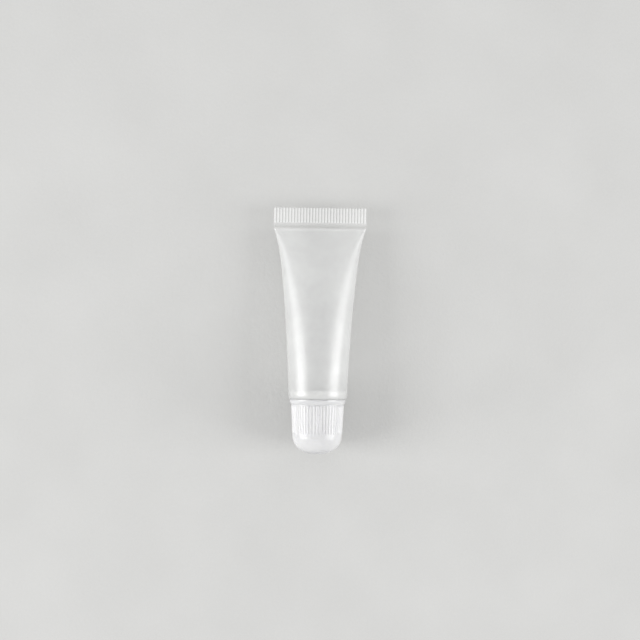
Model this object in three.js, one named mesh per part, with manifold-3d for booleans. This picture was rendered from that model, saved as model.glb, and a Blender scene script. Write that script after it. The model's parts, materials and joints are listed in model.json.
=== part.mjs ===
// An empty lip gloss squeeze tube lying on its belly, with its screw cap on.
//
// Millimetres, +Z up. Every piece is drawn about the tube's own axis, which is Y inside the group.
// A station is a distance from the cut edge of the tail towards the cap, so station s is at y = -s.
// The group then tips the tube onto its belly and sets it down, centred, on z = 0.

import * as THREE from 'three';
import { mergeVertices } from 'three/addons/utils/BufferGeometryUtils.js';
import Module from 'manifold-3d';

const wasm = await Module();
wasm.setup();

// Driving dimensions.
const TUBE_RADIUS = 9.3;            // of the round sleeve, where it meets the shoulder
const SLEEVE_WALL = 0.5;
const TAIL_HALF_WIDTH = 14.75;      // of the sleeve pressed flat
const TAIL_HALF_THICKNESS = 0.45;
const REST_DEPTH = 0.14;            // how far the soft belly gives where it lies on a surface
const GAP = 0.3;                    // between pieces that rest on or sit in each other
const CLEARANCE = 0.15;             // radial, between the turning threads

// Stations along the axis.
const SERRATION_END = 5.1;
const TAIL_END = 6.3;
const FLAT_PANEL_END = 46.3;
const SLEEVE_END = 58.4;
const SHOULDER_FACE = 60.2;
const NECK_END = 65.6;
const TIP_END = 71.9;
const CAP_MOUTH = SHOULDER_FACE + GAP;
const GRIP_START = 62.4;
const GRIP_END = 71.4;
const CAP_END = 77.8;

// Tail serration.
const SERRATION_COUNT = 31;
const SERRATION_RISE = 0.18;

// Shoulder and neck.
const SHOULDER_RADIUS = 9.2;        // the film stands a little proud of it
const SHOULDER_THICKNESS = 1.2;
const SHOULDER_EDGE = 1.2;          // radial width of the shoulder's rounded edge
const PLUG_RADIUS = 8.45;           // of the ring on the shoulder that stands in the sleeve
const PLUG_LENGTH = 2;
const PLUG_WALL = 0.75;
const NECK_RADIUS = 4.6;
const NECK_BORE = 3.1;
const NECK_FLARE = 0.6;             // of the bore's mouth inside the tube
const CHAMFER = 0.3;

// Thread, single-start and right-handed.
const THREAD_RADIUS = 5.25;
const THREAD_LEAD = 3;
const THREAD_TURNS = 1;
const THREAD_START = 61.7;
const THREAD_ROOT_WIDTH = 1;
const THREAD_CREST_WIDTH = 0.5;
const THREAD_ROOT_DEPTH = 0.3;      // how far a ridge is sunk in the wall that carries it
const THREAD_RUNOUT = 1 / 8;        // share of a ridge's length over which it fades out

// Applicator tip.
const TIP_RADIUS = 3.3;
const TIP_BORE = 1.3;
const TIP_PLUG_LENGTH = 3.6;        // below the neck's end
const TIP_ROUNDING = 1.2;
const TIP_SLANT = THREE.MathUtils.degToRad(36);
const TIP_SLANT_STATION = 69.3;     // where the slanted face crosses the axis

// Screw cap.
const GRIP_RADIUS = 8.3;            // over the ribs at the mouth end
const GRIP_END_RADIUS = 7.85;       // over the ribs at the dome end
const GRIP_RIBS = 50;
const GRIP_DEPTH = 0.25;
const RIM_RADIUS = 8.8;
const DOME_RADIUS = 7.8;
const DOME_SQUARENESS = 2.2;        // 2 is an ellipse, and more is blunter
const CAP_WALL = 1.1;
const RIM_LIP = 0.2;                // rounding of the rim's edge
const RIB_OVERLAP = 0.1;            // of the ribs' ends into the smooth parts of the cap
const CORE_DEPTH = 0.4;             // of the smooth core under the ribs' tops
const SKIRT_BORE = 7.2;             // radius at the mouth
const SKIRT_BORE_INNER = 6.8;       // radius near the groove's end
const COLLAR_RADIUS = 6.4;
const COLLAR_END_RADIUS = 6.1;      // where it joins the cap's body
const COLLAR_BORE = THREAD_RADIUS + CLEARANCE;
const COLLAR_SETBACK = 0.4;         // of the collar's end from the cap's mouth
const GROOVE_END = 72.8;
const CHAMBER_RADIUS = 4.4;
const CHAMBER_BEVEL = 0.5;
const RING_THICKNESS = 0.9;

// The sealing ring lies between the neck's end and the ledge inside the cap.
const RING_START = NECK_END + GAP;
const RING_END = RING_START + RING_THICKNESS;
const LEDGE = RING_END + GAP;

// Facets.
const ROUND_SEGMENTS = 48;
const SMALL_SEGMENTS = 36;
const SLEEVE_SEGMENTS = 56;
const THREAD_STEPS = 36;

// Sleeve sections. The last stretch but one is the straight belly that the tube lies on.
const BELLY_START = 46;
const BELLY_END = 55;
const SLEEVE_STATIONS = [TAIL_END, 7, 8, 9.5, 11.5, 14.5, 18.5, 23.5, 29, 35, 40.5, BELLY_START, BELLY_END];

// A closed geometry as a Manifold. Its triangles are turned over if the shaping mirrored them.
function solid(geometry) {
    const bare = geometry.clone();
    bare.deleteAttribute('normal');
    bare.deleteAttribute('uv');
    const merged = mergeVertices(bare, 1e-4);
    const triangles = [];
    for (let i = 0; i < merged.index.count; i += 3) {
        const corners = [0, 1, 2].map((k) => merged.index.getX(i + k));
        if (new Set(corners).size === 3) triangles.push(corners);
    }
    const corner = (k) => new THREE.Vector3().fromBufferAttribute(merged.attributes.position, k);
    const volume = triangles.reduce((sum, [a, b, c]) => sum + corner(a).dot(corner(b).cross(corner(c))), 0);
    const facing = volume > 0 ? triangles : triangles.map(([a, b, c]) => [a, c, b]);
    return new wasm.Manifold(new wasm.Mesh({
        numProp: 3,
        vertProperties: new Float32Array(merged.attributes.position.array),
        triVerts: new Uint32Array(facing.flat()),
    }));
}

function mesh(name, body, material) {
    const { vertProperties, triVerts } = body.getMesh();
    const geometry = new THREE.BufferGeometry();
    geometry.setAttribute('position', new THREE.BufferAttribute(new Float32Array(vertProperties), 3));
    geometry.setIndex(new THREE.BufferAttribute(new Uint32Array(triVerts), 1));
    geometry.computeVertexNormals();
    const made = new THREE.Mesh(geometry, material);
    made.name = name;
    return made;
}

// A body turned about the tube's axis, from an outline of [radius, station] points.
function turned(outline, segments = ROUND_SEGMENTS) {
    const points = outline.map(([radius, station]) => new THREE.Vector2(radius, -station));
    return solid(new THREE.LatheGeometry(points, segments));
}

// Points of a quarter superellipse, from [start radius, start station] to [end radius, end station].
// It leaves the start along the axis and reaches the end square to it.
function roundOver([startRadius, startStation], [endRadius, endStation], steps, power = 2) {
    const points = [];
    for (let i = 0; i <= steps; i++) {
        const angle = (i / steps) * Math.PI / 2;
        const across = Math.pow(Math.max(Math.cos(angle), 0), 2 / power);
        const along = Math.pow(Math.sin(angle), 2 / power);
        points.push([
            endRadius + (startRadius - endRadius) * across,
            startStation + (endStation - startStation) * along,
        ]);
    }
    return points;
}

// ---- tube sleeve ----

// Half-width of the sleeve. It draws in fast beside the tail, then slowly towards the round end.
function halfWidth(station) {
    const v = THREE.MathUtils.clamp((station - TAIL_END) / (SLEEVE_END - TAIL_END), 0, 1);
    const taper = 0.7 * Math.pow(1 - v, 1.4) + 0.3 * Math.exp(-v / 0.11);
    return TUBE_RADIUS + (TAIL_HALF_WIDTH - TUBE_RADIUS) * taper;
}

// Half-width of the flat panel that runs in from the tail and closes to a point.
function flatHalfWidth(station) {
    const v = THREE.MathUtils.clamp((station - TAIL_END) / (FLAT_PANEL_END - TAIL_END), 0, 1);
    return (TAIL_HALF_WIDTH - TAIL_HALF_THICKNESS) * Math.pow(1 - v, 2.2);
}

// Half-height of the sleeve. The film hardly stretches, so each section keeps the perimeter of the
// round end, and the half-height follows from the width. The search halves its range each time.
function halfHeight(station) {
    const flat = flatHalfWidth(station);
    const side = halfWidth(station) - flat;
    const ovalPerimeter = (a, b) => Math.PI * (3 * (a + b) - Math.sqrt((3 * a + b) * (a + 3 * b)));
    let low = TAIL_HALF_THICKNESS;
    let high = TUBE_RADIUS;
    for (let i = 0; i < 40; i++) {
        const middle = (low + high) / 2;
        if (4 * flat + ovalPerimeter(side, middle) > 2 * Math.PI * TUBE_RADIUS) high = middle;
        else low = middle;
    }
    return low;
}

// The lowest height of the sleeve. Its straight belly gives way to a narrow flat where it rests.
function restingLevel(station) {
    const along = (station - BELLY_START) / (BELLY_END - BELLY_START);
    return REST_DEPTH - THREE.MathUtils.lerp(halfHeight(BELLY_START), halfHeight(BELLY_END), along);
}

// A closed skin through the sleeve's sections, drawn in by the inset. A section is a flat panel
// above and below with half an oval at each side.
function sleeveSkin(stations, inset) {
    const bands = stations.length - 1;
    const halfStep = Math.PI / SLEEVE_SEGMENTS;
    const skin = new THREE.CylinderGeometry(1, 1, 1, SLEEVE_SEGMENTS, bands, false, halfStep);
    const position = skin.attributes.position;
    for (let i = 0; i < position.count; i++) {
        const station = stations[Math.round((0.5 - position.getY(i)) * bands)];
        const flat = flatHalfWidth(station);
        const x = position.getX(i);
        const side = halfWidth(station) - flat - inset;
        const isCentre = Math.hypot(x, position.getZ(i)) < 0.5;
        const offset = isCentre ? 0 : Math.sign(x) * flat;
        const height = (halfHeight(station) - inset) * position.getZ(i);
        position.setXYZ(i, offset + side * x, -station, Math.max(height, restingLevel(station) + inset));
    }
    return solid(skin);
}

// The serrated tail: a corrugated strip, pressed by two sets of teeth that mesh.
function serratedTail() {
    const pitch = 2 * TAIL_HALF_WIDTH / SERRATION_COUNT;
    const wave = [[0.05, -1], [0.35, 1], [0.65, 1], [0.95, -1]];
    const top = [];
    for (let i = 0; i < SERRATION_COUNT; i++) {
        for (const [along, side] of wave) {
            const x = -TAIL_HALF_WIDTH + (i + along) * pitch;
            top.push(new THREE.Vector2(x, TAIL_HALF_THICKNESS + side * SERRATION_RISE / 2));
        }
    }
    const thickness = 2 * TAIL_HALF_THICKNESS;
    const bottom = top.map((point) => new THREE.Vector2(point.x, point.y - thickness)).reverse();
    const strip = new THREE.ExtrudeGeometry(new THREE.Shape([...bottom, ...top]), {
        depth: SERRATION_END,
        bevelEnabled: false,
    });
    return solid(strip.rotateX(Math.PI / 2));
}

function tubeSleeve() {
    const bandStart = SERRATION_END - 0.1;
    const outside = sleeveSkin([bandStart, ...SLEEVE_STATIONS, SLEEVE_END], 0);
    const cavityStart = TAIL_END + 1.2;
    const cavityStations = SLEEVE_STATIONS.filter((station) => station > cavityStart);
    const inside = sleeveSkin([cavityStart, ...cavityStations, SLEEVE_END + 1], SLEEVE_WALL);
    return outside.add(serratedTail()).subtract(inside);
}

// ---- threads ----

// A helical ridge from one radius to another, tapered out at both ends. Right-handed towards the cap.
function threadRidge(fromRadius, toRadius, startStation, startTurn) {
    const ridge = new THREE.BoxGeometry(1, 1, 1, THREAD_STEPS * THREAD_TURNS, 1, 1);
    const position = ridge.attributes.position;
    for (let i = 0; i < position.count; i++) {
        const along = position.getX(i) + 0.5;
        const rise = position.getY(i) + 0.5;
        const fade = Math.min(1, along / THREAD_RUNOUT, (1 - along) / THREAD_RUNOUT);
        const radius = fromRadius + (toRadius - fromRadius) * rise * fade;
        const width = rise > 0.5 ? THREAD_CREST_WIDTH : THREAD_ROOT_WIDTH;
        const angle = 2 * Math.PI * (startTurn + along * THREAD_TURNS);
        const station = startStation + along * THREAD_TURNS * THREAD_LEAD + position.getZ(i) * width;
        position.setXYZ(i, radius * Math.cos(angle), -station, radius * Math.sin(angle));
    }
    return solid(ridge);
}

// ---- shoulder and neck ----

function shoulderHead() {
    const edgeStart = SLEEVE_END + GAP;
    const underside = SHOULDER_FACE - SHOULDER_THICKNESS;
    const body = turned([
        [NECK_BORE, NECK_END],
        [NECK_BORE, underside + SHOULDER_THICKNESS / 2],
        [NECK_BORE + NECK_FLARE, underside],
        [PLUG_RADIUS - PLUG_WALL, underside],
        [PLUG_RADIUS - PLUG_WALL, SLEEVE_END - PLUG_LENGTH],
        [PLUG_RADIUS, SLEEVE_END - PLUG_LENGTH],
        [PLUG_RADIUS, edgeStart],
        ...roundOver([SHOULDER_RADIUS, edgeStart], [SHOULDER_RADIUS - SHOULDER_EDGE, SHOULDER_FACE], 5),
        [NECK_RADIUS + CHAMFER, SHOULDER_FACE],
        [NECK_RADIUS, SHOULDER_FACE + CHAMFER],
        [NECK_RADIUS, NECK_END - CHAMFER],
        [NECK_RADIUS - CHAMFER, NECK_END],
        [NECK_BORE, NECK_END],
    ]);
    return body.add(threadRidge(NECK_RADIUS - THREAD_ROOT_DEPTH, THREAD_RADIUS, THREAD_START, 0));
}

// ---- applicator tip ----

// A soft nozzle that plugs into the neck. Its end is cut at a slant that faces up, for the lip.
function applicatorTip() {
    const plugRadius = NECK_BORE - GAP;
    const plugStart = NECK_END - TIP_PLUG_LENGTH;
    const body = turned([
        [0, plugStart],
        [plugRadius - CHAMFER, plugStart],
        [plugRadius, plugStart + CHAMFER],
        [plugRadius, NECK_END + GAP],
        [TIP_RADIUS, NECK_END + GAP],
        ...roundOver([TIP_RADIUS, TIP_END - TIP_ROUNDING], [TIP_RADIUS - TIP_ROUNDING, TIP_END], 4),
        [0, TIP_END],
    ], SMALL_SEGMENTS);
    const side = 6 * TIP_RADIUS;
    const wedge = new THREE.BoxGeometry(side, side, side);
    wedge.translate(0, -side / 2, 0);
    wedge.rotateX(-TIP_SLANT);
    wedge.translate(0, -TIP_SLANT_STATION, 0);
    const bore = turned([
        [0, plugStart - 1], [TIP_BORE, plugStart - 1], [TIP_BORE, TIP_END + 1], [0, TIP_END + 1],
    ], SMALL_SEGMENTS);
    return body.subtract(solid(wedge)).subtract(bore);
}

// ---- sealing ring ----

function capSealRing() {
    const outer = COLLAR_BORE - GAP;
    const inner = TIP_RADIUS + GAP;
    return turned([
        [inner, RING_START], [outer, RING_START], [outer, RING_END], [inner, RING_END], [inner, RING_START],
    ], SMALL_SEGMENTS);
}

// ---- screw cap ----

// The ribbed grip: a tapered drum whose wall steps in and out, four facets to a rib.
function ribbedDrum() {
    const facets = 4 * GRIP_RIBS;
    const drum = new THREE.CylinderGeometry(GRIP_RADIUS, GRIP_END_RADIUS, GRIP_END - GRIP_START, facets, 1);
    const position = drum.attributes.position;
    for (let i = 0; i < position.count; i++) {
        const x = position.getX(i);
        const z = position.getZ(i);
        const radius = Math.hypot(x, z);
        const facet = Math.round((Math.atan2(z, x) / (2 * Math.PI) + 1) * facets) % 4;
        const scale = radius > GRIP_DEPTH && facet > 1 ? (radius - GRIP_DEPTH) / radius : 1;
        position.setXYZ(i, x * scale, position.getY(i) - (GRIP_START + GRIP_END) / 2, z * scale);
    }
    return solid(drum);
}

// The smooth parts of the outside: a flared rim, a core under the ribs and the dome.
function capShell() {
    return turned([
        [0, CAP_MOUTH],
        [RIM_RADIUS - RIM_LIP, CAP_MOUTH],
        [RIM_RADIUS, CAP_MOUTH + RIM_LIP],
        [RIM_RADIUS, CAP_MOUTH + 3 * RIM_LIP],
        [GRIP_RADIUS, GRIP_START - RIM_LIP],
        [GRIP_RADIUS, GRIP_START + RIB_OVERLAP],
        [GRIP_RADIUS - CORE_DEPTH, GRIP_START + RIB_OVERLAP],
        [GRIP_END_RADIUS - CORE_DEPTH, GRIP_END - RIB_OVERLAP],
        ...roundOver([DOME_RADIUS, GRIP_END - RIB_OVERLAP], [0, CAP_END], 9, DOME_SQUARENESS),
    ]);
}

// The cap's hollow: the threaded collar's bore, the ledge for the ring and the chamber for the tip.
function capBore() {
    const end = CAP_END - CAP_WALL;
    return turned([
        [0, CAP_MOUTH - 1],
        [COLLAR_BORE, CAP_MOUTH - 1],
        [COLLAR_BORE, LEDGE],
        [CHAMBER_RADIUS, LEDGE],
        [CHAMBER_RADIUS, end - CHAMBER_BEVEL],
        [CHAMBER_RADIUS - CHAMBER_BEVEL, end],
        [0, end],
    ]);
}

// The groove between the outer skirt and the threaded collar, and the collar's setback from the mouth.
function capGroove() {
    const collarEnd = CAP_MOUTH + COLLAR_SETBACK;
    return turned([
        [COLLAR_BORE - CHAMFER, CAP_MOUTH - 1],
        [SKIRT_BORE, CAP_MOUTH - 1],
        [SKIRT_BORE, CAP_MOUTH + 1],
        [SKIRT_BORE_INNER, GRIP_END],
        [COLLAR_END_RADIUS, GROOVE_END],
        [COLLAR_RADIUS, collarEnd],
        [COLLAR_BORE - CHAMFER, collarEnd],
        [COLLAR_BORE - CHAMFER, CAP_MOUTH - 1],
    ]);
}

function screwCap() {
    const ridgeRadius = NECK_RADIUS + CLEARANCE;
    const ridge = threadRidge(COLLAR_BORE + THREAD_ROOT_DEPTH, ridgeRadius, THREAD_START, 0.5);
    return capShell().add(ribbedDrum()).subtract(capBore()).subtract(capGroove()).add(ridge);
}

// ---- materials ----

const frostedFilm = new THREE.MeshStandardMaterial({ color: 0xe4e5e2, roughness: 0.45, metalness: 0 });
const headPlastic = new THREE.MeshStandardMaterial({ color: 0xdcded9, roughness: 0.5, metalness: 0 });
const softTip = new THREE.MeshStandardMaterial({ color: 0xd9dbd8, roughness: 0.4, metalness: 0 });
const sealFoam = new THREE.MeshStandardMaterial({ color: 0xeeeeea, roughness: 0.9, metalness: 0 });
const capPlastic = new THREE.MeshStandardMaterial({ color: 0xf1f2f3, roughness: 0.35, metalness: 0 });

// ---- assembly ----

const tube = new THREE.Group();
tube.add(
    mesh('tube_sleeve', tubeSleeve(), frostedFilm),
    mesh('shoulder_head', shoulderHead(), headPlastic),
    mesh('applicator_tip', applicatorTip(), softTip),
    mesh('cap_seal_ring', capSealRing(), sealFoam),
    mesh('screw_cap', screwCap(), capPlastic),
);

// The belly's straight stretch lies level, which tips the tail down a little.
const bellyDrop = halfHeight(BELLY_END) - halfHeight(BELLY_START);
tube.rotation.x = -Math.atan2(bellyDrop, BELLY_END - BELLY_START);

const bounds = new THREE.Box3().setFromObject(tube, true);
const centre = bounds.getCenter(new THREE.Vector3());
tube.position.set(-centre.x, -centre.y, -bounds.min.z);

const model = new THREE.Group();
model.add(tube);

export default model;
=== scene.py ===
"""An empty, frosted lip gloss squeeze tube lying on its belly, with its screw cap on.

Every shape is drawn about the tube's own axis, in millimetres, as [across, station, height].
A station is the distance from the cut edge of the tail towards the cap, and a height is above
the axis. place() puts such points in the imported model's frame, in metres.
"""

import json
import math

import bmesh
import bpy
import numpy as np
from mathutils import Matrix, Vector


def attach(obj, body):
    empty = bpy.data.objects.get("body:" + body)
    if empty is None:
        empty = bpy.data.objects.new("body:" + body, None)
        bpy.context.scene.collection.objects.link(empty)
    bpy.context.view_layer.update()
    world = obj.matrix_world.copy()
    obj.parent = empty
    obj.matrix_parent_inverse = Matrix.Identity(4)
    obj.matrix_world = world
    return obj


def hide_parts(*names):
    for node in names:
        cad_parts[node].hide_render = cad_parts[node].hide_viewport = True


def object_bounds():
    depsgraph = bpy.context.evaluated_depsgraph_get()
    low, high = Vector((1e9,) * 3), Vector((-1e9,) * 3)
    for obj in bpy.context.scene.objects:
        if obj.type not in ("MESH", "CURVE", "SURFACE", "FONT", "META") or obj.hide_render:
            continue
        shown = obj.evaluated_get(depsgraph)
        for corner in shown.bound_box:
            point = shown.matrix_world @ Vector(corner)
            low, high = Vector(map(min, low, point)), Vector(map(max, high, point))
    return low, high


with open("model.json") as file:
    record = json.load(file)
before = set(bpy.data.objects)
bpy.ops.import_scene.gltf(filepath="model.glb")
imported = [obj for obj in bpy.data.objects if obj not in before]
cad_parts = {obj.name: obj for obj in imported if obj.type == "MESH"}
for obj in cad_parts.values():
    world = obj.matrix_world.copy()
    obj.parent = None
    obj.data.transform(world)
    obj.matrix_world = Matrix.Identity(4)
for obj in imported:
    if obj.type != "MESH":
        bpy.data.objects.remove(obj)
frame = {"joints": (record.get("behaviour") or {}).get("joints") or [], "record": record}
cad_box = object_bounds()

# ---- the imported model's frame ----

MOUNTS = {mount["name"]: mount for mount in frame["record"]["mounts"]}
JOINTS = {joint["name"]: joint for joint in frame["joints"]}
TAIL_EDGE = np.array(MOUNTS["tail_edge"]["pos_m"])
AXIS = np.array(JOINTS["cap_twist"]["axis"])
ACROSS = np.array([1.0, 0.0, 0.0])
UP = np.cross(AXIS, ACROSS)

# ---- dimensions, in millimetres ----

TUBE_RADIUS = 9.3
WALL = 0.5
TAIL_HALF_WIDTH = 14.75
TAIL_HALF_THICKNESS = 0.45
TAIL_END = 6.3                 # station where the sealed tail opens into the sleeve
CAVITY_START = 7.5
TAPER_END = 58.4               # the sleeve is round from here on
LONG_TAPER = 0.7               # share of the taper that runs the whole way
LONG_TAPER_POWER = 1.4
SHORT_TAPER = 0.3              # share that dies away just past the tail
SHORT_TAPER_LENGTH = 0.11      # as a share of the whole taper's length
FLAT_PANEL_END = 46.3
FLAT_PANEL_POWER = 2.2
ROLL_START = 58.9              # where the film starts to round over the shoulder's edge
ROLL_SQUARENESS = 1.6
BELLY = (46.0, 55.0)           # the straight stretch that the tube lies on
REST_DEPTH = 0.14              # how far the belly gives way where it rests
REST_BLEND = 0.05

SERRATION_END = 5.1
SERRATION_RUNOUT = 0.6
SERRATION_COUNT = 31
SERRATION_PITCH = 2 * TAIL_HALF_WIDTH / SERRATION_COUNT
SERRATION_RISE = 0.24
SERRATION_SHARPNESS = 2.2
SERRATION_GROOVE = 0.5         # how much wider the grooves are than the ribs

SHOULDER_FACE = 60.47          # just short of the cap's mouth
SHOULDER_UNDERSIDE = 59.0
PLUG_START = 57.9
PLUG_RADIUS = 8.78
PLUG_WALL = 0.9
NECK_RADIUS = 4.6
NECK_BORE = 3.1
NECK_FLARE = 0.6               # where the bore opens into the sleeve
NECK_END = 65.6

THREAD_RADIUS = 5.25
THREAD_START = 61.7
THREAD_LEAD = 3.0
THREAD_ROOT = 1.0
THREAD_CREST = 0.5
THREAD_RUNOUT = 1 / 8          # turns over which the ridge rises and dies away

TIP_RADIUS = 3.3
TIP_BORE = 1.3
TIP_PLUG_RADIUS = 2.8
TIP_PLUG_START = 62.0
TIP_FLANGE = 65.9
TIP_SLANT = math.radians(36)
TIP_SLANT_STATION = 69.3       # where the slanted face crosses the axis
TIP_LIP = 1.0                  # rounding of the slanted face's outer edge
TIP_BORE_LIP = 0.3

RING_START = 65.9
RING_END = 66.8
RING_INNER = 3.6
RING_OUTER = 5.1

CAP_MOUTH = 60.5
CAP_END = 77.8
RIM_RADIUS = 8.8
RIM_END = 62.15
GRIP_START = 62.4
GRIP_END = 71.4
GRIP_RADIUS = 8.3
GRIP_END_RADIUS = 7.85
GRIP_RIBS = 50
GRIP_DEPTH = 0.14
GRIP_GROOVE = 0.08             # depth of the line between the rim and the ribs
DOME_RADIUS = 7.82
DOME_SQUARENESS = 2.2
DOME_FOOT = 7.74               # radius where the dome gives way to the ribs
DOME_CROWN = 0.8               # radius inside which the rings have fewer points
SKIRT_BORE = 7.2
SKIRT_BORE_INNER = 6.8
GROOVE_END = 72.8
COLLAR_RADIUS = 6.4
COLLAR_END_RADIUS = 6.1
COLLAR_BORE = 5.4
COLLAR_START = 60.9
COLLAR_RIDGE = 4.75
LEDGE = 67.1
CHAMBER_RADIUS = 4.4
CHAMBER_END = 76.7


# ---- mesh helpers ----

def place(points):
    """Points about the tube's axis, in millimetres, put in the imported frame, in metres."""
    across, station, height = np.asarray(points, float).T[:, :, None] / 1000
    return TAIL_EDGE + across * ACROSS + station * AXIS + height * UP


def smooth(share):
    """A share from 0 to 1, eased at both ends."""
    share = np.clip(share, 0, 1)
    return share * share * (3 - 2 * share)


def bridge(first, second):
    """Faces between two rings of vertex numbers. One may have several times the other's."""
    if len(first) < len(second):
        return [face[::-1] for face in bridge(second, first)]
    ratio, count = len(first) // len(second), len(second)
    faces = []
    for k in range(count):
        fine = [first[(k * ratio + i) % len(first)] for i in range(ratio + 1)]
        faces.append(fine + [second[(k + 1) % count], second[k]])
    return faces


def ladder(ring):
    """Faces that close a flattened ring, from each upper point to the lower one under it."""
    count = len(ring)
    half = count // 2
    faces = [[ring[0], ring[1], ring[-1]], [ring[half - 1], ring[half], ring[half + 1]]]
    for k in range(1, half - 1):
        faces.append([ring[k], ring[k + 1], ring[count - k - 1], ring[count - k]])
    return faces


def shell(name, rings, ends, inner_from=None):
    """A closed mesh through rings of points.

    Its ends are joined to each other, or each closes flat or to a point. The faces from ring
    inner_from on are the inner skin, and take the second material.
    """
    points = np.vstack(rings)
    starts = np.cumsum([0] + [len(ring) for ring in rings])
    numbers = [list(range(a, b)) for a, b in zip(starts[:-1], starts[1:])]
    faces = [face for a, b in zip(numbers[:-1], numbers[1:]) for face in bridge(a, b)]
    if ends == "joined":
        faces += bridge(numbers[-1], numbers[0])
    if ends == "flat":
        faces += ladder(numbers[0]) + ladder(numbers[-1])
    if ends == "point":
        for ring in (numbers[0], numbers[-1]):
            centre = len(points)
            points = np.vstack([points, points[ring].mean(axis=0)])
            faces += [[ring[k - 1], ring[k], centre] for k in range(len(ring))]
    mesh = bpy.data.meshes.new(name)
    mesh.from_pydata(place(points).tolist(), [], faces)
    if inner_from is not None:
        first_inner = starts[inner_from]
        for polygon in mesh.polygons:
            polygon.material_index = int(min(polygon.vertices) >= first_inner)
    body = bmesh.new()
    body.from_mesh(mesh)
    bmesh.ops.recalc_face_normals(body, faces=body.faces)
    if body.calc_volume(signed=True) < 0:
        bmesh.ops.reverse_faces(body, faces=body.faces)
    body.to_mesh(mesh)
    body.free()
    mesh.shade_smooth()
    piece = bpy.data.objects.new(name, mesh)
    bpy.context.scene.collection.objects.link(piece)
    return piece


def filleted(corners, steps=5):
    """An outline through [radius, station, fillet] corners, each rounded over its own distance."""
    corners = np.array(corners, float)
    points, fillets = corners[:, :2], corners[:, 2]
    outline = []
    neighbours = zip(np.roll(points, 1, 0), np.roll(points, -1, 0))
    for corner, fillet, ends in zip(points, fillets, neighbours):
        if fillet == 0:
            outline.append(corner)
            continue
        arms = [(end - corner) * min(0.5, fillet / np.linalg.norm(end - corner)) for end in ends]
        for t in np.linspace(0, 1, steps):
            outline.append(corner + arms[0] * (1 - t) ** 2 + arms[1] * t ** 2)
    return np.array(outline)


def divided(outline, step, closed=True):
    """The outline with its long stretches cut into pieces no longer than the step."""
    ends = np.roll(outline, -1, 0) if closed else outline[1:]
    starts = outline if closed else outline[:-1]
    points = []
    for start, end in zip(starts, ends):
        pieces = max(1, math.ceil(np.linalg.norm(end - start) / step))
        points += [start + (end - start) * k / pieces for k in range(pieces)]
    if not closed:
        points.append(outline[-1])
    return np.array(points)


def turned_ring(radius, station, count, rise=None):
    """A ring about the axis. rise(turn, radius, station) is added to the radius."""
    turn = np.arange(count) / count
    radii = np.full(count, float(radius))
    if rise is not None:
        radii = radii + rise(turn, radius, station)
    angle = 2 * np.pi * turn
    stations = np.full(count, float(station))
    return np.column_stack([radii * np.cos(angle), stations, radii * np.sin(angle)])


def quarter_oval(start, end, steps, power):
    """A quarter superellipse that leaves the start along the axis and ends square to it."""
    angle = np.linspace(0, np.pi / 2, steps)
    across = np.cos(angle).clip(0) ** (2 / power)
    along = np.sin(angle) ** (2 / power)
    (r0, s0), (r1, s1) = start, end
    return np.column_stack([r1 + (r0 - r1) * across, s0 + (s1 - s0) * along])


def thread_share(turn, station, start_turn):
    """How far up the thread's ridge a place is, from 0 at the root to 1 on the crest."""
    along = (turn - start_turn) % 1
    offset = np.abs(station - THREAD_START - THREAD_LEAD * along)
    flank = (THREAD_ROOT / 2 - offset) / (THREAD_ROOT / 2 - THREAD_CREST / 2)
    return smooth(flank) * smooth(np.minimum(along, 1 - along) / THREAD_RUNOUT)


# ---- tube sleeve ----

def half_width(station):
    """Half-width of the whole sleeve, from the flat tail to the round end."""
    along = np.clip((station - TAIL_END) / (TAPER_END - TAIL_END), 0, 1)
    long = LONG_TAPER * (1 - along) ** LONG_TAPER_POWER
    short = SHORT_TAPER * np.exp(-along / SHORT_TAPER_LENGTH)
    return TUBE_RADIUS + (TAIL_HALF_WIDTH - TUBE_RADIUS) * (long + short)


def flat_half_width(station):
    """Half-width of the flat panel that runs in from the tail and closes to a point."""
    along = np.clip((station - TAIL_END) / (FLAT_PANEL_END - TAIL_END), 0, 1)
    return (TAIL_HALF_WIDTH - TAIL_HALF_THICKNESS) * (1 - along) ** FLAT_PANEL_POWER


def half_height(station):
    """The film hardly stretches, so every section has the perimeter of the round end."""
    flat = flat_half_width(station)
    side = half_width(station) - flat
    low, high = TAIL_HALF_THICKNESS, TUBE_RADIUS
    halvings = 40
    for _ in range(halvings):
        middle = (low + high) / 2
        root = math.sqrt((3 * side + middle) * (side + 3 * middle))
        perimeter = 4 * flat + math.pi * (3 * (side + middle) - root)
        low, high = (low, middle) if perimeter > 2 * math.pi * TUBE_RADIUS else (middle, high)
    return low


def resting_level(station):
    """The lowest height of the sleeve: its belly gives way to a narrow flat where it rests."""
    along = (station - BELLY[0]) / (BELLY[1] - BELLY[0])
    return REST_DEPTH - (1 - along) * half_height(BELLY[0]) - along * half_height(BELLY[1])


def section(station, inset, count):
    """The sleeve's outline as [across, height] in even steps, from the +X side over the top."""
    flat = flat_half_width(station)
    side = half_width(station) - flat - inset
    rise = half_height(station) - inset
    samples = 400
    turn = np.linspace(0, np.pi / 2, samples)
    quarter = np.column_stack([flat + side * np.cos(turn), rise * np.sin(turn)])
    quarter = np.vstack([quarter, [0, rise]])
    steps = np.hypot(*np.diff(quarter, axis=0).T)
    length = np.concatenate([[0], np.cumsum(steps)])
    even = np.linspace(0, length[-1], count // 4 + 1)
    quarter = np.column_stack([np.interp(even, length, column) for column in quarter.T])
    top = np.vstack([quarter, (quarter * [-1, 1])[-2::-1]])
    return np.vstack([top, (top * [1, -1])[-2:0:-1]])


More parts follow.
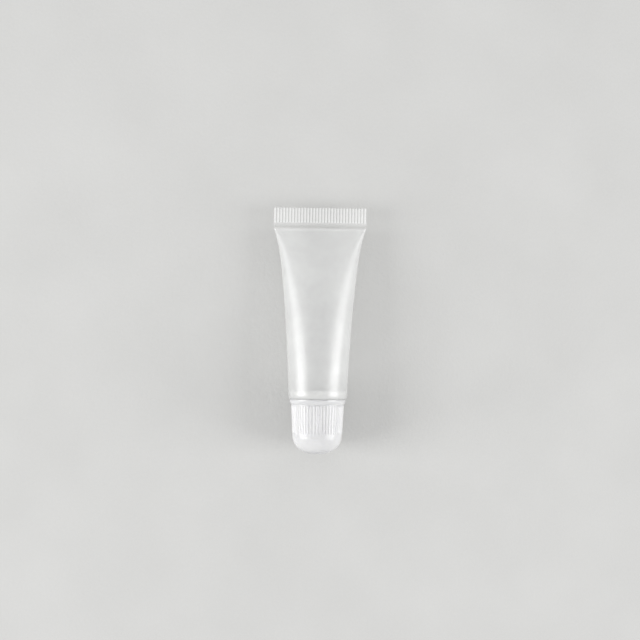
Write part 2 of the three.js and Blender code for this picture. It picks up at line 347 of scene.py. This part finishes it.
def sleeve_ring(station, inset, count):
    """The sleeve's outline with the flat it rests on, and the serrations where it is sealed."""
    across, height = section(station, inset, count).T
    level = resting_level(station) + inset
    height = level + ((height - level) + np.hypot(height - level, REST_BLEND)) / 2
    ripple = np.cos(2 * np.pi * (across + TAIL_HALF_WIDTH) / SERRATION_PITCH)
    wave = np.tanh(-SERRATION_SHARPNESS * ripple - SERRATION_GROOVE)
    fade = smooth((SERRATION_END - station) / SERRATION_RUNOUT)
    height = height + SERRATION_RISE / 2 * wave * fade
    return np.column_stack([across, np.full(count, float(station)), height])


def tube_sleeve():
    """The film, from its cut edge over the outside, round the shoulder's edge and back inside."""
    fine, coarse = 768, 192    # points in a ring of the serrated tail, and in any other
    cut_edge = [(0, 0.12), (0.03, 0.04)]
    serrated = (0.12, 1.2, 2.4, 3.6, 4.4, 4.6, 4.7, 4.8, 4.9, 5, 5.1, 5.3)
    rings = [sleeve_ring(station, inset, fine) for station, inset in cut_edge]
    rings += [sleeve_ring(station, 0, fine) for station in serrated]
    beside_tail = 5.5 + np.cumsum(np.linspace(0, 0.45, 16))
    body = np.linspace(beside_tail[-1], ROLL_START, 80)[1:]
    rings += [sleeve_ring(station, 0, coarse) for station in (*beside_tail, *body)]
    roll = quarter_oval(
        (TUBE_RADIUS, ROLL_START), (TUBE_RADIUS - WALL, SHOULDER_FACE), 14, ROLL_SQUARENESS
    )
    rings += [sleeve_ring(station, TUBE_RADIUS - radius, coarse) for radius, station in roll[1:]]
    inner_from = len(rings)
    inside = np.linspace(SHOULDER_FACE, CAVITY_START, 60)[1:]
    rings += [sleeve_ring(station, WALL, coarse) for station in inside]
    return shell("sleeve_film", rings, "flat", inner_from)


# ---- shoulder and neck ----

def shoulder_head():
    """The plug in the sleeve's end, the shoulder's face and the threaded neck."""
    plug_bore = PLUG_RADIUS - PLUG_WALL
    outline = filleted([
        [NECK_BORE, NECK_END, 0.15],
        [NECK_BORE, SHOULDER_UNDERSIDE + NECK_FLARE, 0.3],
        [NECK_BORE + NECK_FLARE, SHOULDER_UNDERSIDE, 0.15],
        [plug_bore, SHOULDER_UNDERSIDE, 0.3],
        [plug_bore, PLUG_START, 0.15],
        [PLUG_RADIUS, PLUG_START, 0.3],
        [PLUG_RADIUS, SHOULDER_FACE, 0.02],
        [NECK_RADIUS, SHOULDER_FACE, 0.3],
        [NECK_RADIUS, NECK_END, 0.3],
    ])

    def rise(turn, radius, station):
        if abs(radius - NECK_RADIUS) > 0.001:
            return 0
        return (THREAD_RADIUS - NECK_RADIUS) * thread_share(turn, station, 0)

    count = 240
    rings = [turned_ring(radius, station, count, rise) for radius, station in divided(outline, 0.2)]
    return shell("shoulder_moulding", rings, "joined")


# ---- applicator tip ----

def applicator_tip():
    """A soft nozzle with a slanted face, low at the top and long at the bottom."""
    count = 120
    angle = 2 * np.pi * np.arange(count) / count
    slope = math.tan(TIP_SLANT) * np.sin(angle)

    def face(radius):
        return TIP_SLANT_STATION - radius * slope

    def ring(radius, station):
        radii, stations = np.broadcast_to(radius, count), np.broadcast_to(station, count)
        return np.column_stack([radii * np.cos(angle), stations, radii * np.sin(angle)])

    def rounded(start, corner, end, steps=8):
        for t in np.linspace(0, 1, steps):
            radius, station = (
                a * (1 - t) ** 2 + 2 * b * t * (1 - t) + c * t * t
                for a, b, c in zip(start, corner, end)
            )
            yield ring(radius, station)

    edge = 0.15
    plug = divided(filleted([
        [TIP_BORE, TIP_PLUG_START, edge],
        [TIP_PLUG_RADIUS, TIP_PLUG_START, 0.4],
        [TIP_PLUG_RADIUS, TIP_FLANGE, 0.1],
        [TIP_RADIUS, TIP_FLANGE, 0.15],
    ]), 0.4, closed=False)
    rings = [ring(radius, station) for radius, station in plug[2:]]   # the bore closes the edge
    wall_start, wall_end = TIP_FLANGE + 0.2, face(TIP_RADIUS) - TIP_LIP
    for t in np.linspace(0, 1, 10)[:-1]:
        rings.append(ring(TIP_RADIUS, wall_start + t * (wall_end - wall_start)))
    rings += rounded(
        (TIP_RADIUS, wall_end),
        (TIP_RADIUS, face(TIP_RADIUS)),
        (TIP_RADIUS - TIP_LIP, face(TIP_RADIUS - TIP_LIP)),
    )
    rings.append(ring(TIP_BORE + 0.6, face(TIP_BORE + 0.6)))
    bore_start, bore_end = face(TIP_BORE) - TIP_BORE_LIP, TIP_PLUG_START + edge
    rings += rounded(
        (TIP_BORE + TIP_BORE_LIP, face(TIP_BORE + TIP_BORE_LIP)),
        (TIP_BORE, face(TIP_BORE)),
        (TIP_BORE, bore_start),
    )
    for t in np.linspace(0, 1, 12)[1:]:
        rings.append(ring(TIP_BORE, bore_start + t * (bore_end - bore_start)))
    return shell("slanted_tip", rings, "joined")


# ---- sealing ring ----

def seal_ring():
    """A flat ring between the neck's end and the ledge in the cap."""
    outline = filleted([
        [RING_INNER, RING_START, 0.2],
        [RING_OUTER, RING_START, 0.3],
        [RING_OUTER, RING_END, 0.3],
        [RING_INNER, RING_END, 0.2],
    ])
    count = 120
    rings = [turned_ring(radius, station, count) for radius, station in divided(outline, 0.3)]
    return shell("foam_ring", rings, "joined")


# ---- screw cap ----

def grip_radius(station):
    """Radius over the ribs, which taper towards the dome."""
    along = (station - GRIP_START) / (GRIP_END - GRIP_START)
    return GRIP_RADIUS + (GRIP_END_RADIUS - GRIP_RADIUS) * along


def rib_cut(turn, radius, station):
    """How far the grooves between the ribs cut in. They start sharply and run out at the dome."""
    groove = smooth((np.cos(2 * np.pi * turn * GRIP_RIBS) + 0.15) / 0.85)
    depth = smooth((station - GRIP_START) / 0.3) * smooth((GRIP_END + 0.2 - station) / 1.0)
    return -GRIP_DEPTH * depth * groove


def collar_thread(turn, radius, station):
    """The ridge inside the collar, half a turn behind the one on the neck."""
    return (COLLAR_RIDGE - COLLAR_BORE) * thread_share(turn, station, 0.5)


def screw_cap():
    """The cap, from its dome over the ribs to the rim, then its inside as far as the chamber."""
    ribbed, plain, small = 12 * GRIP_RIBS, 4 * GRIP_RIBS, GRIP_RIBS
    dome = quarter_oval((DOME_RADIUS, GRIP_END), (0, CAP_END), 64, DOME_SQUARENESS)[::-1]
    rings = []
    for radius, station in dome[1:]:
        if radius < DOME_FOOT:
            count = small if radius < DOME_CROWN else plain
            rings.append(turned_ring(radius, station, count))
    ribs = np.concatenate([
        np.linspace(GRIP_END + 0.35, 70.2, 14),      # the run-out at the dome
        np.linspace(69.4, 62.8, 9),
        np.linspace(62.7, GRIP_START, 6),            # the sharp start at the rim
    ])
    for station in ribs:
        on_dome = smooth((station - GRIP_END + 0.2) / 0.5)
        dome_radius = np.interp(station, dome[::-1, 1], dome[::-1, 0])
        radius = grip_radius(station) * (1 - on_dome) + dome_radius * on_dome
        rings.append(turned_ring(radius, station, ribbed, rib_cut))
    rim = divided(filleted([
        [GRIP_RADIUS, GRIP_START - 0.02, 0],
        [GRIP_RADIUS, GRIP_START - 0.1, 0.03],
        [GRIP_RADIUS - GRIP_GROOVE, GRIP_START - 0.12, 0.03],
        [GRIP_RADIUS - GRIP_GROOVE, RIM_END, 0.06],
        [GRIP_RADIUS + 0.12, RIM_END - 0.15, 0.1],
        [RIM_RADIUS, CAP_MOUTH + 0.6, 0.3],
        [RIM_RADIUS, CAP_MOUTH, 0.04],
        [SKIRT_BORE + 0.6, CAP_MOUTH, 0],
    ])[:-1], 0.25, closed=False)
    rings += [turned_ring(radius, station, ribbed) for radius, station in rim]
    inside = divided(filleted([
        [SKIRT_BORE + 0.5, CAP_MOUTH, 0],
        [SKIRT_BORE, CAP_MOUTH, 0.2],
        [SKIRT_BORE_INNER, GRIP_END, 0.5],
        [COLLAR_END_RADIUS, GROOVE_END, 0.3],
        [COLLAR_RADIUS, COLLAR_START, 0.15],
        [COLLAR_BORE, COLLAR_START, 0.3],
        [COLLAR_BORE, LEDGE, 0.1],
        [CHAMBER_RADIUS, LEDGE, 0.15],
        [CHAMBER_RADIUS, CHAMBER_END, 0.8],
        [0.6, CHAMBER_END, 0],
    ]), 0.5, closed=False)
    for radius, station in inside[1:]:
        threaded = abs(radius - COLLAR_BORE) < 0.001
        rings.append(turned_ring(radius, station, plain, collar_thread if threaded else None))
    return shell("ribbed_cap", rings, "point")


# ---- materials ----

def principled(name, **values):
    """A material with a Principled shader whose sockets have these values."""
    material = bpy.data.materials.new(name)
    material.use_nodes = True
    shader = material.node_tree.nodes["Principled BSDF"]
    for socket, value in values.items():
        shader.inputs[socket.replace("_", " ")].default_value = value
    return material, shader


def noise(material, scale, detail, stretch=(1, 1, 1)):
    """A noise texture on the piece's own coordinates. Its scale is features per metre."""
    tree = material.node_tree
    coordinates = tree.nodes.new("ShaderNodeTexCoord")
    mapping = tree.nodes.new("ShaderNodeMapping")
    mapping.inputs["Scale"].default_value = stretch
    texture = tree.nodes.new("ShaderNodeTexNoise")
    texture.inputs["Scale"].default_value = scale
    texture.inputs["Detail"].default_value = detail
    tree.links.new(coordinates.outputs["Object"], mapping.inputs["Vector"])
    tree.links.new(mapping.outputs["Vector"], texture.inputs["Vector"])
    return texture.outputs["Fac"]


def ramped(material, factor, low, high, start=0.3, end=0.7):
    """A colour that goes from low to high as the factor goes from start to end."""
    ramp = material.node_tree.nodes.new("ShaderNodeValToRGB")
    ramp.color_ramp.elements[0].position = start
    ramp.color_ramp.elements[0].color = (*low, 1)
    ramp.color_ramp.elements[1].position = end
    ramp.color_ramp.elements[1].color = (*high, 1)
    material.node_tree.links.new(factor, ramp.inputs["Fac"])
    return ramp.outputs["Color"]


def ranged(material, factor, low, high, start=0.3, end=0.7):
    """A number that goes from low to high as the factor goes from start to end."""
    ranger = material.node_tree.nodes.new("ShaderNodeMapRange")
    limits = {"From Min": start, "From Max": end, "To Min": low, "To Max": high}
    for socket, value in limits.items():
        ranger.inputs[socket].default_value = value
    material.node_tree.links.new(factor, ranger.inputs["Value"])
    return ranger.outputs["Result"]


def bumped(material, shader, layers):
    """Bump from several [factor, height in microns] layers, one over another."""
    normal = None
    for factor, microns in layers:
        bump = material.node_tree.nodes.new("ShaderNodeBump")
        bump.inputs["Distance"].default_value = microns / 1e6
        material.node_tree.links.new(factor, bump.inputs["Height"])
        if normal is not None:
            material.node_tree.links.new(normal, bump.inputs["Normal"])
        normal = bump.outputs["Normal"]
    material.node_tree.links.new(normal, shader.inputs["Normal"])


def arithmetic(material, operation, first, second=0):
    """The outcome of one sum. Each term is a number or another node's output."""
    node = material.node_tree.nodes.new("ShaderNodeMath")
    node.operation = operation
    for term, socket in ((first, node.inputs[0]), (second, node.inputs[1])):
        if isinstance(term, (int, float)):
            socket.default_value = term
        else:
            material.node_tree.links.new(term, socket)
    return node.outputs["Value"]


def sealed_tail(material, film_alpha):
    """How opaque the film is: ribs more opaque than the grooves between them, a painted highlight
    on the ribs and painted shade in the grooves, a clear welded band, then the sleeve.
    """
    nodes, link = material.node_tree.nodes, material.node_tree.links.new
    spot = nodes.new("ShaderNodeSeparateXYZ")
    link(nodes.new("ShaderNodeTexCoord").outputs["Object"], spot.inputs["Vector"])

    def between(stations, low, high):
        """A number that goes from low to high between two stations."""
        start, end = (place([[0, station, 0]])[0][1] for station in stations)
        return ranged(material, spot.outputs["Y"], low, high, start, end)

    # the ribs are drawn more opaque and the grooves clearer: painted highlight on the ribs, painted
    # shade in the grooves
    lit_rib_alpha, shaded_groove_alpha, band_alpha = 0.62, 0.2, 0.2
    pitch = SERRATION_PITCH / 1000
    angle = arithmetic(material, "MULTIPLY", spot.outputs["X"], 2 * math.pi / pitch)
    angle = arithmetic(material, "ADD", angle, math.pi * SERRATION_COUNT)
    ripple = arithmetic(material, "COSINE", angle)      # -1 on a rib, 1 in a groove
    ribs = ranged(material, ripple, lit_rib_alpha, shaded_groove_alpha, -0.75, 0.15)
    crimped = between((SERRATION_END, SERRATION_END - 0.5), 0, 1)
    band = between((SERRATION_END, TAIL_END), band_alpha, 0)
    sleeve = between((TAIL_END - 0.2, TAIL_END + 0.7), 0, 1)
    film = arithmetic(material, "MULTIPLY", sleeve, film_alpha)
    return arithmetic(
        material, "MAXIMUM",
        arithmetic(material, "MULTIPLY", ribs, crimped),
        arithmetic(material, "MAXIMUM", band, film),
    )


def frosted_film(name, alpha):
    """Thin milky polyethylene film with a soft gloss. What is behind it shows through."""
    material, shader = principled(name, IOR=1.7, Specular_IOR_Level=1.0)
    link = material.node_tree.links.new
    cloud = noise(material, 90, 4)
    drawn = noise(material, 900, 2, stretch=(1, 0.04, 1))     # lines along the tube
    grain = noise(material, 5000, 2)
    colour = ramped(material, cloud, (0.82, 0.825, 0.82), (0.87, 0.875, 0.87))
    link(colour, shader.inputs["Base Color"])
    link(ranged(material, noise(material, 260, 3), 0.285, 0.35), shader.inputs["Roughness"])
    cloudy = ranged(material, cloud, alpha - 0.03, alpha + 0.03)
    link(sealed_tail(material, cloudy), shader.inputs["Alpha"])
    bumped(material, shader, [(cloud, 10), (drawn, 3), (grain, 1)])
    return material


def milky_plastic(name, low, high, roughness, alpha=1.0):
    """Moulded soft plastic that lets a little light in. Its colour varies between low and high."""
    material, shader = principled(
        name, IOR=1.5, Alpha=alpha, Subsurface_Weight=1.0, Subsurface_Scale=0.002,
        Subsurface_Radius=(1.0, 1.0, 0.95),
    )
    link = material.node_tree.links.new
    link(ramped(material, noise(material, 120, 4), low, high), shader.inputs["Base Color"])
    sheen = ranged(material, noise(material, 400, 3), roughness - 0.04, roughness + 0.05)
    link(sheen, shader.inputs["Roughness"])
    bumped(material, shader, [(noise(material, 300, 2), 10), (noise(material, 3000, 2), 3)])
    return material


def foam(name):
    """Closed-cell foam with fine pores, drawn darker where the surface sinks between the cells:
    painted shade in the hollows.
    """
    material, shader = principled(
        name, Roughness=0.85, Subsurface_Weight=0.5, Subsurface_Scale=0.0008,
    )
    nodes, link = material.node_tree.nodes, material.node_tree.links.new
    cells = nodes.new("ShaderNodeTexVoronoi")
    cells.inputs["Scale"].default_value = 4500
    link(nodes.new("ShaderNodeTexCoord").outputs["Object"], cells.inputs["Vector"])
    # darker towards each cell's edge, where the bump below sinks: painted shade in the hollows
    # between the cells
    colour = ramped(
        material, cells.outputs["Distance"], (0.93, 0.93, 0.91), (0.74, 0.74, 0.72), 0.0, 0.9
    )
    link(colour, shader.inputs["Base Color"])
    bumped(material, shader, [(noise(material, 700, 3), 30), (cells.outputs["Distance"], -40)])
    return material


# ---- the pieces and their bodies ----

FILM = [frosted_film("film_outside", 0.40), frosted_film("film_inside", 0.08)]
HEAD = [milky_plastic("milky_head", (0.72, 0.72, 0.71), (0.78, 0.78, 0.77), 0.38, alpha=0.85)]
NOZZLE = [milky_plastic("soft_nozzle", (0.78, 0.79, 0.78), (0.85, 0.855, 0.85), 0.3)]
FOAM = [foam("white_foam")]
CAP = [milky_plastic("white_cap", (0.70, 0.70, 0.705), (0.74, 0.74, 0.745), 0.22, alpha=0.96)]

PIECES = [
    (tube_sleeve, FILM, "tube", "tube_sleeve", "frosted_film"),
    (shoulder_head, HEAD, "tube", "shoulder_head", "head_plastic"),
    (applicator_tip, NOZZLE, "tube", "applicator_tip", "soft_tip"),
    (seal_ring, FOAM, "seal", "cap_seal_ring", "seal_foam"),
    (screw_cap, CAP, "cap", "screw_cap", "cap_plastic"),
]
for make, materials, body, node, slot in PIECES:
    piece = make()
    for material in materials:
        piece.data.materials.append(material)
    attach(piece, body)
    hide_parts(node)

# ---- floor ----

FLOOR_REACH = 6.0
corners = [(x * FLOOR_REACH, y * FLOOR_REACH, 0) for x, y in ((-1, -1), (1, -1), (1, 1), (-1, 1))]
floor_mesh = bpy.data.meshes.new("floor")
floor_mesh.from_pydata(corners, [], [(0, 1, 2, 3)])
floor = bpy.data.objects.new("floor", floor_mesh)
bpy.context.scene.collection.objects.link(floor)
paper, paper_shader = principled("pale_floor", Roughness=0.85)
paper_colour = ramped(paper, noise(paper, 30, 5), (0.57, 0.57, 0.56), (0.60, 0.60, 0.59))
paper.node_tree.links.new(paper_colour, paper_shader.inputs["Base Color"])
bumped(paper, paper_shader, [(noise(paper, 900, 4), 80)])
floor_mesh.materials.append(paper)

# ---- light ----

SKY_STRENGTH = 0.70
LIGHT_ELEVATION = 24
LIGHT_DISTANCE = 1.2
LIGHT_SIZE = (0.5, 0.8)

centre = (cad_box[0] + cad_box[1]) / 2
world = bpy.data.worlds.new("studio")
world.use_nodes = True
sky = world.node_tree.nodes["Background"]
sky.inputs["Color"].default_value = (1.0, 1.0, 1.0, 1)
sky.inputs["Strength"].default_value = SKY_STRENGTH
bpy.context.scene.world = world


def soft_light(name, azimuth, power):
    """A wide area light that faces the object. Azimuth 0 is towards +X and 90 towards +Y."""
    data = bpy.data.lights.new(name, "AREA")
    data.shape = "RECTANGLE"
    data.size, data.size_y = LIGHT_SIZE
    data.energy = power
    light = bpy.data.objects.new(name, data)
    a, e = math.radians(azimuth), math.radians(LIGHT_ELEVATION)
    out = Vector((math.cos(a) * math.cos(e), math.sin(a) * math.cos(e), math.sin(e)))
    light.location = centre + LIGHT_DISTANCE * out
    light.rotation_euler = out.to_track_quat("Z", "Y").to_euler()
    light.visible_camera = False
    bpy.context.scene.collection.objects.link(light)


soft_light("light_left", 188, 9.5)
soft_light("light_right", -8, 8)

# ---- camera ----

CAMERA_DISTANCE = 0.330
CAMERA_AIM = Vector((0.0004, 0.0033, 0))     # from the object's centre to where the camera points
CAMERA_TURN = math.radians(0.8)
CAMERA_LENS = 58.95

camera_data = bpy.data.cameras.new("camera")
camera_data.sensor_width = 36
camera_data.lens = CAMERA_LENS
camera = bpy.data.objects.new("camera", camera_data)
camera.location = centre + CAMERA_AIM + Vector((0, 0, CAMERA_DISTANCE))
camera.rotation_euler = (0, 0, CAMERA_TURN)
bpy.context.scene.collection.objects.link(camera)
bpy.context.scene.camera = camera
bpy.context.scene.view_settings.view_transform = "Standard"
